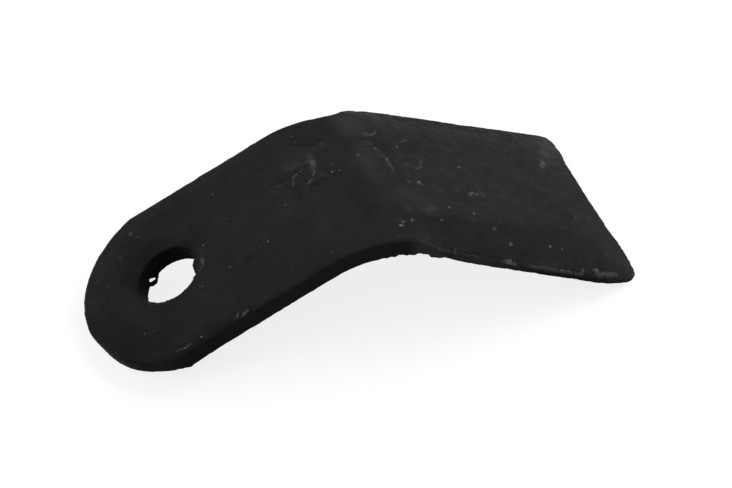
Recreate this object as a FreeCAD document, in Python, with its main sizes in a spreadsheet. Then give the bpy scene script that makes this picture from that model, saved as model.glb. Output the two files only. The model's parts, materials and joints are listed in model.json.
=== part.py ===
import FreeCAD, Part
import os
import Sketcher
from math import atan, cos, radians, sin, tan
from FreeCAD import Placement, Rotation, Vector

# Half of a Y pair of mulcher blades: a flat bar with a round, bored end, bent into a spread cutting leg.
# The body is drawn with the bore's centre at its origin, the shank along X and, on Z = 0, the face that
# lies against the other half of the pair. Its placement then lays it down as it comes to rest.

SIZES = [
    ("shank_width", 50.0, "width of the bar"),
    ("thickness", 5.0, "thickness of the bar"),
    ("bore_diameter", 16.2, "hole for a 16 mm bolt"),
    ("bore_to_tip", 22.9, "bore's centre to the tip of the round end"),
    ("end_radius", 26.0, "radius of the round end"),
    ("shank_length", 34.3, "bore's centre to the start of the soft bend"),
    ("soft_bend_radius", 31.7, "outer radius of the soft bend"),
    ("soft_bend_angle", 24.5, "turn of the soft bend, degrees"),
    ("between_bends", 8.9, "straight length between the bends"),
    ("crease_radius", 19.8, "outer radius of the crease"),
    ("crease_angle", 24.5, "turn of the crease, degrees"),
    ("leg_length", 56.1, "end of the crease to the cut end, along the middle"),
    ("leg_root_width", 57.2, "width of the leg where the crease ends"),
    ("leg_end_width", 65.0, "width of the leg at its cut end"),
    ("root_shift", 0.8, "how far the leg's root is pushed towards the worn corner's side"),
    ("worn_spread_lead", 8.0, "start of the spread ahead of the crease, on the worn corner's side"),
    ("worn_spread_radius", 17.0, "radius of the curves of that spread"),
    ("far_spread_lead", 3.5, "start of the spread ahead of the crease, on the far side"),
    ("far_spread_radius", 9.0, "radius of the curves of that spread"),
    ("shoulder_spacing", 37.5, "flat left between the two bevels"),
    ("bevel_angle", 11.5, "slope of the bevels, degrees"),
    ("end_skew", 5.8, "slant of the cut end, degrees"),
    ("end_middle_width", 30.0, "straight middle of the cut end, measured across the leg"),
    ("corner_growth", 3.9, "how far the forged corners stand out past the cut end's middle"),
    ("worn_corner_radius", 60.0, "sweep of the worn corner"),
    ("worn_corner_length", 17.0, "length over which the worn corner draws in"),
    ("worn_corner_depth", 3.3, "width lost at the worn corner"),
    ("worn_nose_radius", 1.5, "rounding of the worn corner's nose"),
    ("far_corner_radius", 20.0, "sweep of the other corner"),
    ("far_corner_length", 9.0, "length over which the other corner draws in"),
    ("far_corner_depth", 1.7, "width lost at the other corner"),
    ("arris_radius", 0.5, "rounding of the worn arrises"),
]
MARGIN = 6.0       # what the blank has to spare before it is trimmed
OVERRUN = 0.4      # how far a trimming curve starts outside the edge that it crosses
ARRIS_TURN = 25    # least turn, in degrees, between two faces that meet in an arris
SMOOTH = 1e-4
SETTLING_STEPS = 12

mm = {name: value for name, value, note in SIZES}
soft = radians(mm["soft_bend_angle"])
slope = radians(mm["soft_bend_angle"] + mm["crease_angle"])

# The same places as formulas of the sheet: where the crease starts and ends, on the face Z = 0.
SOFT = "Sizes.soft_bend_angle * 1deg"
SLOPE = "(Sizes.soft_bend_angle + Sizes.crease_angle) * 1deg"
CREASE_START_X = (f"(Sizes.shank_length + Sizes.soft_bend_radius * sin({SOFT})"
                  f" + Sizes.between_bends * cos({SOFT}))")
CREASE_START_Z = (f"(-Sizes.soft_bend_radius * (1 - cos({SOFT}))"
                  f" - Sizes.between_bends * sin({SOFT}))")
CREASE_END_X = f"({CREASE_START_X} + Sizes.crease_radius * (sin({SLOPE}) - sin({SOFT})))"
CREASE_END_Z = f"({CREASE_START_Z} - Sizes.crease_radius * (cos({SOFT}) - cos({SLOPE})))"

# How a sketch counts the ends and centre of a curve, and names its own origin and first axis.
START, END, CENTRE = range(1, 4)
ORIGIN = (-1, START)
AXIS = ORIGIN[0]

doc = FreeCAD.newDocument("mulcher_blade")


def make_sheet():
    """Writes the driving sizes into a sheet whose aliases the features are bound to."""
    sheet = doc.addObject("Spreadsheet::Sheet", "Sizes")
    for row, (name, value, note) in enumerate(SIZES, start=1):
        sheet.set(f"A{row}", name)
        sheet.set(f"B{row}", str(value))
        sheet.set(f"C{row}", note)
        sheet.setAlias(f"B{row}", name)
    doc.recompute()


def new_sketch(body, name, role):
    """Lays a sketch on one of the body's own origin planes."""
    sketch = body.newObject("Sketcher::SketchObject", name)
    plane = next(item for item in body.Origin.OriginFeatures if item.Role == role)
    sketch.AttachmentSupport = [(plane, "")]
    sketch.MapMode = "FlatFace"
    return sketch


def hold(sketch, kind, *where):
    """Adds a constraint that needs no size."""
    sketch.addConstraint(Sketcher.Constraint(kind, *where))


def size(sketch, name, formula, kind, *where):
    """Adds a constraint whose size is a formula of the sheet."""
    index = sketch.addConstraint(Sketcher.Constraint(kind, *where))
    sketch.renameConstraint(index, name)
    sketch.setExpression(f"Constraints.{name}", formula)


def line(sketch, start, end):
    return sketch.addGeometry(Part.LineSegment(Vector(*start, 0), Vector(*end, 0)), False)


def arc(sketch, centre, radius, first, last):
    """Adds an arc that runs counterclockwise between two angles in radians."""
    circle = Part.Circle(Vector(*centre, 0), Vector(0, 0, 1), radius)
    return sketch.addGeometry(Part.ArcOfCircle(circle, first, last), False)


def point(sketch, place):
    return sketch.addGeometry(Part.Point(Vector(*place, 0)), True)


def join(sketch, kind, *ends):
    """Joins outline pieces end to end; each entry is the two ends that meet."""
    for (one, its_end), (other, other_end) in ends:
        hold(sketch, kind, one, its_end, other, other_end)



def edge_half(along, side):
    """Half width of the leg on its worn or its far side, at a distance from the end of the crease."""
    shift = mm["root_shift"] if side == "worn" else -mm["root_shift"]
    root = mm["leg_root_width"] / 2 + shift
    return root + (mm["leg_end_width"] / 2 - root) * along / mm["leg_length"]


def edge_formula(along, side):
    """The same half width as a formula of the sheet."""
    sign = "+" if side == "worn" else "-"
    root = f"(Sizes.leg_root_width / 2 {sign} Sizes.root_shift)"
    return f"({root} + (Sizes.leg_end_width / 2 - {root}) * {along} / Sizes.leg_length)"


def draw_side(body):
    """Side view of the bent blank: two concentric bends between three straight runs."""
    sketch = new_sketch(body, "SideView", "XZ_Plane")
    thick = mm["thickness"]
    along = [Vector(cos(a), -sin(a), 0) for a in (0, soft, slope)]
    up = [Vector(sin(a), cos(a), 0) for a in (0, soft, slope)]
    bend_start = Vector(mm["shank_length"], 0, 0)
    soft_centre = bend_start - up[0] * mm["soft_bend_radius"]
    soft_end = soft_centre + up[1] * mm["soft_bend_radius"]
    crease_start = soft_end + along[1] * mm["between_bends"]
    crease_centre = crease_start - up[1] * mm["crease_radius"]
    crease_end = crease_centre + up[2] * mm["crease_radius"]
    blank_end = crease_end + along[2] * (mm["leg_length"] + MARGIN)
    blank_start = Vector(-mm["bore_to_tip"] - MARGIN, 0, 0)
    quarter = radians(90)
    top = [
        line(sketch, blank_start[:2], bend_start[:2]),
        arc(sketch, soft_centre[:2], mm["soft_bend_radius"], quarter - soft, quarter),
        line(sketch, soft_end[:2], crease_start[:2]),
        arc(sketch, crease_centre[:2], mm["crease_radius"], quarter - slope, quarter - soft),
        line(sketch, crease_end[:2], blank_end[:2]),
    ]
    under = [
        line(sketch, (blank_start - up[0] * thick)[:2], (bend_start - up[0] * thick)[:2]),
        arc(sketch, soft_centre[:2], mm["soft_bend_radius"] - thick, quarter - soft, quarter),
        line(sketch, (soft_end - up[1] * thick)[:2], (crease_start - up[1] * thick)[:2]),
        arc(sketch, crease_centre[:2], mm["crease_radius"] - thick, quarter - slope, quarter - soft),
        line(sketch, (crease_end - up[2] * thick)[:2], (blank_end - up[2] * thick)[:2]),
    ]
    tip_side = line(sketch, (blank_start - up[0] * thick)[:2], blank_start[:2])
    leg_side = line(sketch, blank_end[:2], (blank_end - up[2] * thick)[:2])
    for run in (top, under):
        join(sketch, "Tangent",
             ((run[0], END), (run[1], END)), ((run[1], START), (run[2], START)),
             ((run[2], END), (run[3], END)), ((run[3], START), (run[4], START)))
    join(sketch, "Coincident",
         ((tip_side, END), (top[0], START)), ((tip_side, START), (under[0], START)),
         ((leg_side, START), (top[4], END)), ((leg_side, END), (under[4], END)),
         ((top[1], CENTRE), (under[1], CENTRE)), ((top[3], CENTRE), (under[3], CENTRE)))
    hold(sketch, "Horizontal", top[0])
    hold(sketch, "Horizontal", under[0])
    hold(sketch, "Vertical", tip_side)
    hold(sketch, "Parallel", top[2], under[2])
    hold(sketch, "Parallel", top[4], under[4])
    hold(sketch, "Perpendicular", top[4], leg_side)
    hold(sketch, "PointOnObject", top[0], START, AXIS)
    size(sketch, "tip", f"Sizes.bore_to_tip + {MARGIN}", "DistanceX", top[0], START, *ORIGIN,
         mm["bore_to_tip"] + MARGIN)
    size(sketch, "shank", "Sizes.shank_length", "DistanceX", *ORIGIN, top[0], END, mm["shank_length"])
    size(sketch, "thickness", "Sizes.thickness", "Distance", tip_side, thick)
    size(sketch, "soft_radius", "Sizes.soft_bend_radius", "Radius", top[1], mm["soft_bend_radius"])
    size(sketch, "between", "Sizes.between_bends", "Distance", top[2], mm["between_bends"])
    size(sketch, "soft_turn", f"-{SOFT}", "Angle", top[2], -soft)
    size(sketch, "crease_radius", "Sizes.crease_radius", "Radius", top[3], mm["crease_radius"])
    size(sketch, "full_turn", f"-{SLOPE}", "Angle", top[4], -slope)
    size(sketch, "leg", f"Sizes.leg_length + {MARGIN}", "Distance", top[4], mm["leg_length"] + MARGIN)
    return sketch


def draw_round_end(body):
    """What is trimmed off round the bored end."""
    sketch = new_sketch(body, "RoundEnd", "XY_Plane")
    radius = mm["end_radius"]
    centre = radius - mm["bore_to_tip"]
    out = mm["leg_end_width"]
    left = -mm["bore_to_tip"] - 2 * MARGIN
    end = arc(sketch, (centre, 0), radius, radians(90), radians(270))
    corners = [(centre, -radius), (centre, -out), (left, -out), (left, out), (centre, out), (centre, radius)]
    rim = [line(sketch, a, b) for a, b in zip(corners, corners[1:])]
    join(sketch, "Coincident", ((end, END), (rim[0], START)), ((rim[4], END), (end, START)),
         *(((a, END), (b, START)) for a, b in zip(rim, rim[1:])))
    for upright in rim[0::2]:
        hold(sketch, "Vertical", upright)
    for level in rim[1::2]:
        hold(sketch, "Horizontal", level)
    hold(sketch, "PointOnObject", end, CENTRE, AXIS)
    hold(sketch, "Vertical", end, START, end, CENTRE)
    hold(sketch, "Vertical", end, CENTRE, end, END)
    size(sketch, "radius", "Sizes.end_radius", "Radius", end, radius)
    size(sketch, "centre", "Sizes.end_radius - Sizes.bore_to_tip", "DistanceX", *ORIGIN, end, CENTRE, centre)
    size(sketch, "left", f"Sizes.bore_to_tip + {2 * MARGIN}", "DistanceX", rim[2], START, *ORIGIN, -left)
    size(sketch, "low", "Sizes.leg_end_width", "DistanceY", rim[1], START, *ORIGIN, out)
    size(sketch, "high", "Sizes.leg_end_width", "DistanceY", *ORIGIN, rim[3], START, out)
    return sketch


def draw_side_trim(body, side):
    """What is trimmed off beside the bar, which spreads at the crease and then flares to the cut end."""
    sketch = new_sketch(body, f"{side.title()}SideTrim", "XY_Plane")
    if side == "worn":
        sketch.AttachmentOffset = Placement(Vector(0, 0, 0), Rotation(Vector(1, 0, 0), 180))
    half = mm["shank_width"] / 2
    radius = mm[f"{side}_spread_radius"]
    lead = mm[f"{side}_spread_lead"]
    crease_x = (mm["shank_length"] + mm["soft_bend_radius"] * sin(soft)
                + (mm["between_bends"] - lead) * cos(soft))
    blank_length = mm["leg_length"] + MARGIN
    end_x = (crease_x + lead * cos(soft) + mm["crease_radius"] * (sin(slope) - sin(soft))
             + blank_length * cos(slope))
    end_y = edge_half(blank_length, side)
    flare = (end_y - edge_half(0, side)) / blank_length
    flare_formula = f"({edge_formula(1, side)} - {edge_formula(0, side)})"
    out = mm["leg_end_width"]
    left = -mm["bore_to_tip"] - 2 * MARGIN
    turn = radians(40)
    root = (crease_x + 2 * radius * sin(turn), edge_half(0, side))
    bar = line(sketch, (left, half), (crease_x, half))
    hollow = arc(sketch, (crease_x, half + radius), radius, radians(270), radians(270) + turn)
    swell = arc(sketch, (root[0], root[1] - radius), radius, radians(90), radians(90) + turn)
    edge = line(sketch, root, (end_x, end_y))
    back = line(sketch, (end_x, end_y), (end_x, out))
    outside = line(sketch, (end_x, out), (left, out))
    front = line(sketch, (left, out), (left, half))
    join(sketch, "Tangent", ((bar, END), (hollow, START)), ((hollow, END), (swell, END)),
         ((swell, START), (edge, START)))
    join(sketch, "Coincident", ((edge, END), (back, START)), ((back, END), (outside, START)),
         ((outside, END), (front, START)), ((front, END), (bar, START)))
    for level in (bar, outside):
        hold(sketch, "Horizontal", level)
    for upright in (back, front):
        hold(sketch, "Vertical", upright)
    size(sketch, "left", f"Sizes.bore_to_tip + {2 * MARGIN}", "DistanceX", front, START, *ORIGIN, -left)
    size(sketch, "half_bar", "Sizes.shank_width / 2", "DistanceY", *ORIGIN, bar, START, half)
    size(sketch, "out", "Sizes.leg_end_width", "DistanceY", *ORIGIN, outside, START, out)
    size(sketch, "spread_start", f"{CREASE_START_X} - Sizes.{side}_spread_lead * cos({SOFT})",
         "DistanceX", *ORIGIN, bar, END, crease_x)
    size(sketch, "hollow", f"Sizes.{side}_spread_radius", "Radius", hollow, radius)
    size(sketch, "swell", f"Sizes.{side}_spread_radius", "Radius", swell, radius)
    size(sketch, "edge_turn", f"atan({flare_formula} / cos({SLOPE}))", "Angle", edge,
         atan(flare / cos(slope)))
    size(sketch, "edge_x", f"{CREASE_END_X} + (Sizes.leg_length + {MARGIN}) * cos({SLOPE})",
         "DistanceX", *ORIGIN, edge, END, end_x)
    size(sketch, "edge_y", edge_formula(f"(Sizes.leg_length + {MARGIN})", side),
         "DistanceY", *ORIGIN, edge, END, end_y)
    return sketch


def draw_bevel(body):
    """Section of what a bevel takes off the leg's upper face, square to the bar where the crease starts."""
    sketch = new_sketch(body, "BevelSection", "YZ_Plane")
    sketch.AttachmentOffset = Placement(Vector(0, 0, 0), Rotation(Vector(1, 0, 0), 1))
    sketch.setExpression("AttachmentOffset.Base.y", f"{CREASE_START_Z} * 1mm")
    sketch.setExpression("AttachmentOffset.Base.z", f"{CREASE_START_X} * 1mm")
    sketch.setExpression("AttachmentOffset.Rotation.Angle", SOFT)
    shoulder = mm["shoulder_spacing"] / 2
    out = mm["leg_end_width"]
    drop = (out - shoulder) * tan(radians(mm["bevel_angle"]))
    corners = [(shoulder, 0), (out, -drop), (out, OVERRUN), (shoulder, OVERRUN)]
    face, outside, above, inside = [line(sketch, a, b) for a, b in zip(corners, corners[1:] + corners[:1])]
    join(sketch, "Coincident", ((face, END), (outside, START)), ((outside, END), (above, START)),
         ((above, END), (inside, START)), ((inside, END), (face, START)))
    hold(sketch, "Horizontal", above)
    hold(sketch, "Vertical", outside)
    hold(sketch, "Vertical", inside)
    hold(sketch, "PointOnObject", face, START, AXIS)
    size(sketch, "shoulder", "Sizes.shoulder_spacing / 2", "DistanceX", *ORIGIN, face, START, shoulder)
    size(sketch, "out", "Sizes.leg_end_width", "DistanceX", *ORIGIN, outside, START, out)
    size(sketch, "slope", "-Sizes.bevel_angle * 1deg", "Angle", face, -radians(mm["bevel_angle"]))
    size(sketch, "above", str(OVERRUN), "Distance", inside, OVERRUN)
    return sketch


def draw_bevel_path(body):
    """The upper face's line from the start of the crease to past the cut end."""
    sketch = new_sketch(body, "BevelPath", "XZ_Plane")
    start_x = mm["shank_length"] + mm["soft_bend_radius"] * sin(soft) + mm["between_bends"] * cos(soft)
    start_z = -mm["soft_bend_radius"] * (1 - cos(soft)) - mm["between_bends"] * sin(soft)
    radius = mm["crease_radius"]
    centre = (start_x - radius * sin(soft), start_z - radius * cos(soft))
    crease_end = (centre[0] + radius * sin(slope), centre[1] + radius * cos(slope))
    length = mm["leg_length"] + 2 * MARGIN
    quarter = radians(90)
    crease = arc(sketch, centre, radius, quarter - slope, quarter - soft)
    leg = line(sketch, crease_end, (crease_end[0] + length * cos(slope), crease_end[1] - length * sin(slope)))
    join(sketch, "Tangent", ((crease, START), (leg, START)))
    size(sketch, "radius", "Sizes.crease_radius", "Radius", crease, radius)
    size(sketch, "start_x", CREASE_START_X, "DistanceX", *ORIGIN, crease, END, start_x)
    size(sketch, "start_z", f"-{CREASE_START_Z}", "DistanceY", crease, END, *ORIGIN, -start_z)
    size(sketch, "end_x", CREASE_END_X, "DistanceX", *ORIGIN, crease, START, crease_end[0])
    size(sketch, "turn", f"-{SLOPE}", "Angle", leg, -slope)
    size(sketch, "length", f"Sizes.leg_length + {2 * MARGIN}", "Distance", leg, length)
    return sketch


def draw_end_trim(body):
    """What is trimmed off round the cut end, in the plane of the leg's upper face."""
    sketch = new_sketch(body, "EndTrim", "XY_Plane")
    sketch.AttachmentOffset = Placement(Vector(0, 0, 0), Rotation(Vector(0, 1, 0), 1))
    sketch.setExpression("AttachmentOffset.Base.x", f"{CREASE_END_X} * 1mm")
    sketch.setExpression("AttachmentOffset.Base.z", f"{CREASE_END_Z} * 1mm")
    sketch.setExpression("AttachmentOffset.Rotation.Angle", SLOPE)
    length = mm["leg_length"]
    half = mm["leg_end_width"] / 2
    skew = radians(mm["end_skew"])
    middle_half = mm["end_middle_width"] / 2
    growth = mm["corner_growth"]
    skewed = "Sizes.leg_end_width / 2 * tan(Sizes.end_skew * 1deg)"
    grown = "Sizes.corner_growth / ((Sizes.leg_end_width - Sizes.end_middle_width) / 2)"
    ends = {"worn": length - half * tan(skew) + growth, "far": length + half * tan(skew) + growth}
    end_formulas = {"worn": f"(Sizes.leg_length - {skewed} + Sizes.corner_growth)",
                    "far": f"(Sizes.leg_length + {skewed} + Sizes.corner_growth)"}
    lean = {"worn": atan(tan(skew) - growth / (half - middle_half)),
            "far": atan(tan(skew) + growth / (half - middle_half))}

    worn_start = (ends["worn"] - mm["worn_corner_length"],
                  -edge_half(ends["worn"] - mm["worn_corner_length"], "worn") - OVERRUN)
    worn_pass = (ends["worn"], -edge_half(ends["worn"], "worn") + mm["worn_corner_depth"])
    far_start = (ends["far"] - mm["far_corner_length"],
                 edge_half(ends["far"] - mm["far_corner_length"], "far") + OVERRUN)
    far_pass = (ends["far"], edge_half(ends["far"], "far") - mm["far_corner_depth"])
    nose = mm["worn_nose_radius"]
    out = mm["leg_end_width"]
    beyond = length + 2 * MARGIN

    def bulge(first, second, radius, left):
        """Centre of the arc of a given radius through two places."""
        run = Vector(*second, 0) - Vector(*first, 0)
        rise = (radius ** 2 - (run.Length / 2) ** 2) ** 0.5
        side = Vector(-run.y, run.x, 0).normalize() * (rise if left else -rise)
        return (Vector(*first, 0) + run * 0.5 + side)[:2]

    def bearing(centre, place):
        return Vector(1, 0, 0).getAngle(Vector(*place, 0) - Vector(*centre, 0)) * (
            1 if place[1] >= centre[1] else -1)

    worn_centre = bulge(worn_start, worn_pass, mm["worn_corner_radius"], True)
    far_centre = bulge(far_pass, far_start, mm["far_corner_radius"], True)
    sweep = arc(sketch, worn_centre, mm["worn_corner_radius"],
                bearing(worn_centre, worn_start), bearing(worn_centre, worn_pass))
    tip = arc(sketch, (worn_pass[0] - nose, worn_pass[1] + nose), nose, radians(-70), -lean["worn"])
    turns = [(length + across * tan(skew), across) for across in (-middle_half, middle_half)]
    worn_cut = line(sketch, (worn_pass[0], worn_pass[1] + nose), turns[0])
    cut = line(sketch, turns[0], turns[1])
    far_cut = line(sketch, turns[1], far_pass)
    corner = arc(sketch, far_centre, mm["far_corner_radius"],
                 bearing(far_centre, far_pass), bearing(far_centre, far_start))
    places = [far_start, (far_start[0], out), (beyond, out), (beyond, -out), (worn_start[0], -out), worn_start]
    rim = [line(sketch, a, b) for a, b in zip(places, places[1:])]
    join(sketch, "Tangent", ((sweep, END), (tip, START)), ((tip, END), (worn_cut, START)))
    join(sketch, "Coincident", ((worn_cut, END), (cut, START)), ((cut, END), (far_cut, START)),
         ((far_cut, END), (corner, START)), ((corner, END), (rim[0], START)),
         ((rim[4], END), (sweep, START)), *(((a, END), (b, START)) for a, b in zip(rim, rim[1:])))
    for upright in rim[0::2]:
        hold(sketch, "Vertical", upright)
    for level in rim[1::2]:
        hold(sketch, "Horizontal", level)
    middle, worn_mark, far_mark = point(sketch, (length, 0)), point(sketch, worn_pass), point(sketch, far_pass)
    hold(sketch, "PointOnObject", middle, START, AXIS)
    size(sketch, "middle", "Sizes.leg_length", "DistanceX", *ORIGIN, middle, START, length)
    hold(sketch, "PointOnObject", middle, START, cut)
    size(sketch, "skew", "90deg - Sizes.end_skew * 1deg", "Angle", cut, radians(90) - skew)
    size(sketch, "worn_turn", "Sizes.end_middle_width / 2", "DistanceY", cut, START, *ORIGIN, middle_half)
    size(sketch, "far_turn", "Sizes.end_middle_width / 2", "DistanceY", *ORIGIN, cut, END, middle_half)
    size(sketch, "worn_lean", f"90deg - atan(tan(Sizes.end_skew * 1deg) - {grown})",
         "Angle", worn_cut, radians(90) - lean["worn"])
    size(sketch, "far_lean", f"90deg - atan(tan(Sizes.end_skew * 1deg) + {grown})",
         "Angle", far_cut, radians(90) - lean["far"])
    for side, mark, place, curve, begin, spot in (
            ("worn", worn_mark, worn_pass, sweep, (sweep, START), worn_start),
            ("far", far_mark, far_pass, corner, (corner, END), far_start)):
        end = end_formulas[side]
        start = f"({end} - Sizes.{side}_corner_length)"
        depth = f"{edge_formula(end, side)} - Sizes.{side}_corner_depth"
        mark_span = (*ORIGIN, mark, START) if side == "far" else (mark, START, *ORIGIN)
        start_span = (*ORIGIN, *begin) if side == "far" else (*begin, *ORIGIN)
        hold(sketch, "PointOnObject", mark, START, curve)
        size(sketch, f"{side}_mark_x", end, "DistanceX", *ORIGIN, mark, START, place[0])
        size(sketch, f"{side}_mark_y", depth, "DistanceY", *mark_span, abs(place[1]))
        size(sketch, f"{side}_start_x", start, "DistanceX", *ORIGIN, *begin, spot[0])
        size(sketch, f"{side}_start_y", f"{edge_formula(start, side)} + {OVERRUN}",
             "DistanceY", *start_span, abs(spot[1]))
    size(sketch, "sweep", "Sizes.worn_corner_radius", "Radius", sweep, mm["worn_corner_radius"])
    size(sketch, "nose", "Sizes.worn_nose_radius", "Radius", tip, nose)
    size(sketch, "corner", "Sizes.far_corner_radius", "Radius", corner, mm["far_corner_radius"])
    size(sketch, "beyond", f"Sizes.leg_length + {2 * MARGIN}", "DistanceX", *ORIGIN, rim[2], START, beyond)
    size(sketch, "high", "Sizes.leg_end_width", "DistanceY", *ORIGIN, rim[1], START, out)
    size(sketch, "low", "Sizes.leg_end_width", "DistanceY", rim[3], START, *ORIGIN, out)
    return sketch


def draw_bore(body):
    sketch = new_sketch(body, "BoreCircle", "XY_Plane")
    ring = sketch.addGeometry(Part.Circle(Vector(0, 0, 0), Vector(0, 0, 1), mm["bore_diameter"] / 2), False)
    hold(sketch, "Coincident", ring, CENTRE, *ORIGIN)
    size(sketch, "bore", "Sizes.bore_diameter", "Diameter", ring, mm["bore_diameter"])
    return sketch


def through_cut(body, name, sketch):
    """Cuts a sketch right through the bar, both ways."""
    doc.recompute()
    before = body.Shape.Volume
    cut = body.newObject("PartDesign::Pocket", name)
    cut.Profile = sketch
    cut.Type = "ThroughAll"
    cut.SideType = "Symmetric"
    doc.recompute()
    if body.Shape.Volume >= before:
        raise RuntimeError(f"{name} removed nothing")
    return cut


def worn_arrises(shape, bar):
    """Names the edges round the bar's broad faces, apart from those that the bevels leave at the crease."""
    broad = [face for face in bar.Faces if abs(face.normalAt(0, 0).y) < SMOOTH]
    crease = Vector(cos(soft), 0, -sin(soft))
    names = []
    for number, edge in enumerate(shape.Edges, start=1):
        middle = edge.valueAt((edge.FirstParameter + edge.LastParameter) / 2)
        spot = Part.Vertex(middle)
        if all(face.distToShape(spot)[0] > SMOOTH for face in broad):
            continue
        sides = shape.ancestorsOfType(edge, Part.Face)
        normals = [face.normalAt(*face.Surface.parameter(middle)) for face in sides]
        turned = len(normals) == 2 and normals[0].getAngle(normals[1]) > radians(ARRIS_TURN)
        step = any(abs(normal.dot(crease)) > 1 - SMOOTH for normal in normals)
        if turned and not step:
            names.append(f"Edge{number}")
    return names


def make_blade():
    body = doc.addObject("PartDesign::Body", "Blade")
    body.Label = "blade"
    bar = body.newObject("PartDesign::Pad", "BentBar")
    bar.Profile = draw_side(body)
    bar.SideType = "Symmetric"
    bar.setExpression("Length", f"Sizes.leg_end_width + {2 * MARGIN}")
    through_cut(body, "RoundEndCut", draw_round_end(body))
    through_cut(body, "FarSideCut", draw_side_trim(body, "far"))
    through_cut(body, "WornSideCut", draw_side_trim(body, "worn"))
    section, path = draw_bevel(body), draw_bevel_path(body)
    doc.recompute()
    bevel = body.newObject("PartDesign::SubtractivePipe", "BevelCut")
    bevel.Profile = section
    bevel.Spine = (path, ["Edge1", "Edge2"])
    doc.recompute()
    other_side = body.newObject("PartDesign::Mirrored", "OtherBevel")
    other_side.Originals = [bevel]
    plane = next(item for item in body.Origin.OriginFeatures if item.Role == "XZ_Plane")
    other_side.MirrorPlane = (plane, [""])
    body.Tip = other_side
    doc.recompute()
    trimmed = through_cut(body, "EndCut", draw_end_trim(body))
    worn = body.newObject("PartDesign::Fillet", "WornArrises")
    worn.Base = (trimmed, worn_arrises(trimmed.Shape, bar.Shape))
    worn.setExpression("Radius", "Sizes.arris_radius")
    doc.recompute()
    check_state()
    through_cut(body, "Bore", draw_bore(body))
    return body


def lay_down(body):
    """Places the blade on its round end and the two corners of its cut end, over the origin."""
    places = body.Shape.tessellate(0.02)[0]
    bend = mm["shank_length"]
    groups = (
        [p for p in places if p.x < 0],
        [p for p in places if p.x > bend and p.y < 0],
        [p for p in places if p.x > bend and p.y > 0],
    )
    up = Vector(0, 0, 1)
    for step in range(SETTLING_STEPS):
        tip, worn_side, far_side = (min(group, key=up.dot) for group in groups)
        up = (worn_side - tip).cross(far_side - tip).normalize()
    ahead = Vector(1, 0, 0) - up * up.x
    level = Rotation(ahead.normalize(), up.cross(ahead), up, "ZXY").inverted()
    turned = [level.multVec(p) for p in places]
    middle = [(min(side) + max(side)) / 2 for side in zip(*[(p.x, p.y) for p in turned])]
    body.Placement = Placement(Vector(-middle[0], -middle[1], -min(p.z for p in turned)), level)


def check_state():
    """Stops where the document holds a failed object or a loose sketch."""
    for item in doc.Objects:
        if {"Invalid", "Error"} & set(item.State):
            raise RuntimeError(f"{item.Label} failed: {item.State}")
        if item.isDerivedFrom("Sketcher::SketchObject") and not item.FullyConstrained:
            raise RuntimeError(f"{item.Label} isn't fully constrained")


def check(body):
    """Stops where an object failed or the blade isn't one closed solid."""
    check_state()
    shape = body.Shape
    if shape.isNull() or not shape.isValid() or len(shape.Solids) != 1:
        raise RuntimeError("the blade isn't one valid solid")


make_sheet()
blade = make_blade()
lay_down(blade)
doc.recompute()
check(blade)
os.makedirs("parts", exist_ok=True)
blade.Shape.exportStep(f"parts/{blade.Label}.step")
print(f"blade: {blade.Shape.Volume / 1000:.2f} cm3, {len(blade.Shape.Faces)} faces, "
      f"box {blade.Shape.BoundBox}")
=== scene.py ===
"""One blade of a Y pair for a mulcher, forged from flat bar, with its coat, wear, painted light and shade, and a
plain stage.
"""
import json
import math
import bmesh
import bpy
import numpy as np
from mathutils import Euler, Matrix, Vector, noise


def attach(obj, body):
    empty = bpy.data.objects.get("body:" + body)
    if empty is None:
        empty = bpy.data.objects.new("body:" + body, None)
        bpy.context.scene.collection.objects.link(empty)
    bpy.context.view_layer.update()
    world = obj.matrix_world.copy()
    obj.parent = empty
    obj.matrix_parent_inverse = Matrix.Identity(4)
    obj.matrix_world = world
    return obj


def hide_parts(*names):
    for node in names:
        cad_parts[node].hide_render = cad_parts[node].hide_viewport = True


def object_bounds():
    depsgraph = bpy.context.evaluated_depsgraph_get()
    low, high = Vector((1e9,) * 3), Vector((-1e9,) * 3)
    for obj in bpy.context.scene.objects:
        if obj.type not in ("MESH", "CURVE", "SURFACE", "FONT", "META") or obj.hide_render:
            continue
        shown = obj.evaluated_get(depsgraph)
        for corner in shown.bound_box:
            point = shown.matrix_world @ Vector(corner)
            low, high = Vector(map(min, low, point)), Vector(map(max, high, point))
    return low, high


bl_info = {
    "name": "Mulcher blade",
    "version": (1, 0, 0),
    "blender": (4, 5, 0),
    "location": "View3D > Sidebar > Blade",
    "description": "Dresses a forged mulcher blade with its black coat, scuffs and worn edges",
    "category": "Object",
}

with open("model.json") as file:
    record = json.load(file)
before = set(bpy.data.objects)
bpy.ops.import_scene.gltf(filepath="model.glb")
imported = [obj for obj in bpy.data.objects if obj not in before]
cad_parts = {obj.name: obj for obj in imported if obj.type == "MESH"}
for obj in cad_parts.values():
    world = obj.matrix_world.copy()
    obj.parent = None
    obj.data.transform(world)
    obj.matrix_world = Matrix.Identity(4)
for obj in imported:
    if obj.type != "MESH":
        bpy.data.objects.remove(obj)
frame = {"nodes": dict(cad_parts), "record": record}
CAD_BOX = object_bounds()

NODE = "blade"
BODY = "root"
MM = 0.001
THICKNESS = 5.0
# Along the shank's X, the slope in degrees at the start and the end of each bend.
BENDS = ((34.300, 0.0), (47.446, 24.5), (55.545, 24.5), (62.277, 49.0))
BEVEL_START = 55.545
SHOULDER = 18.75
BEVEL_FALL = math.tan(math.radians(11.5))

# Places are in millimetres in the blade's own frame: X from the bore's centre along the shank, Y across.
# The uneven skin stands a little over the plain bar, and the marks are moved with it.
SEEN_OFFSET = np.array((0.05, -0.22))
# Each bright spot is a raised, scuffed lip beside a small pit, which lies this way from it; the pit is dented
# and painted with shade.
PIT_OFFSET = np.array((0.25, 0.75))
# Marks fainter than this are soft veils and not torn spots.
VEIL_LIMIT = 0.21
VEIL_GAIN = 7.0
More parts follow.
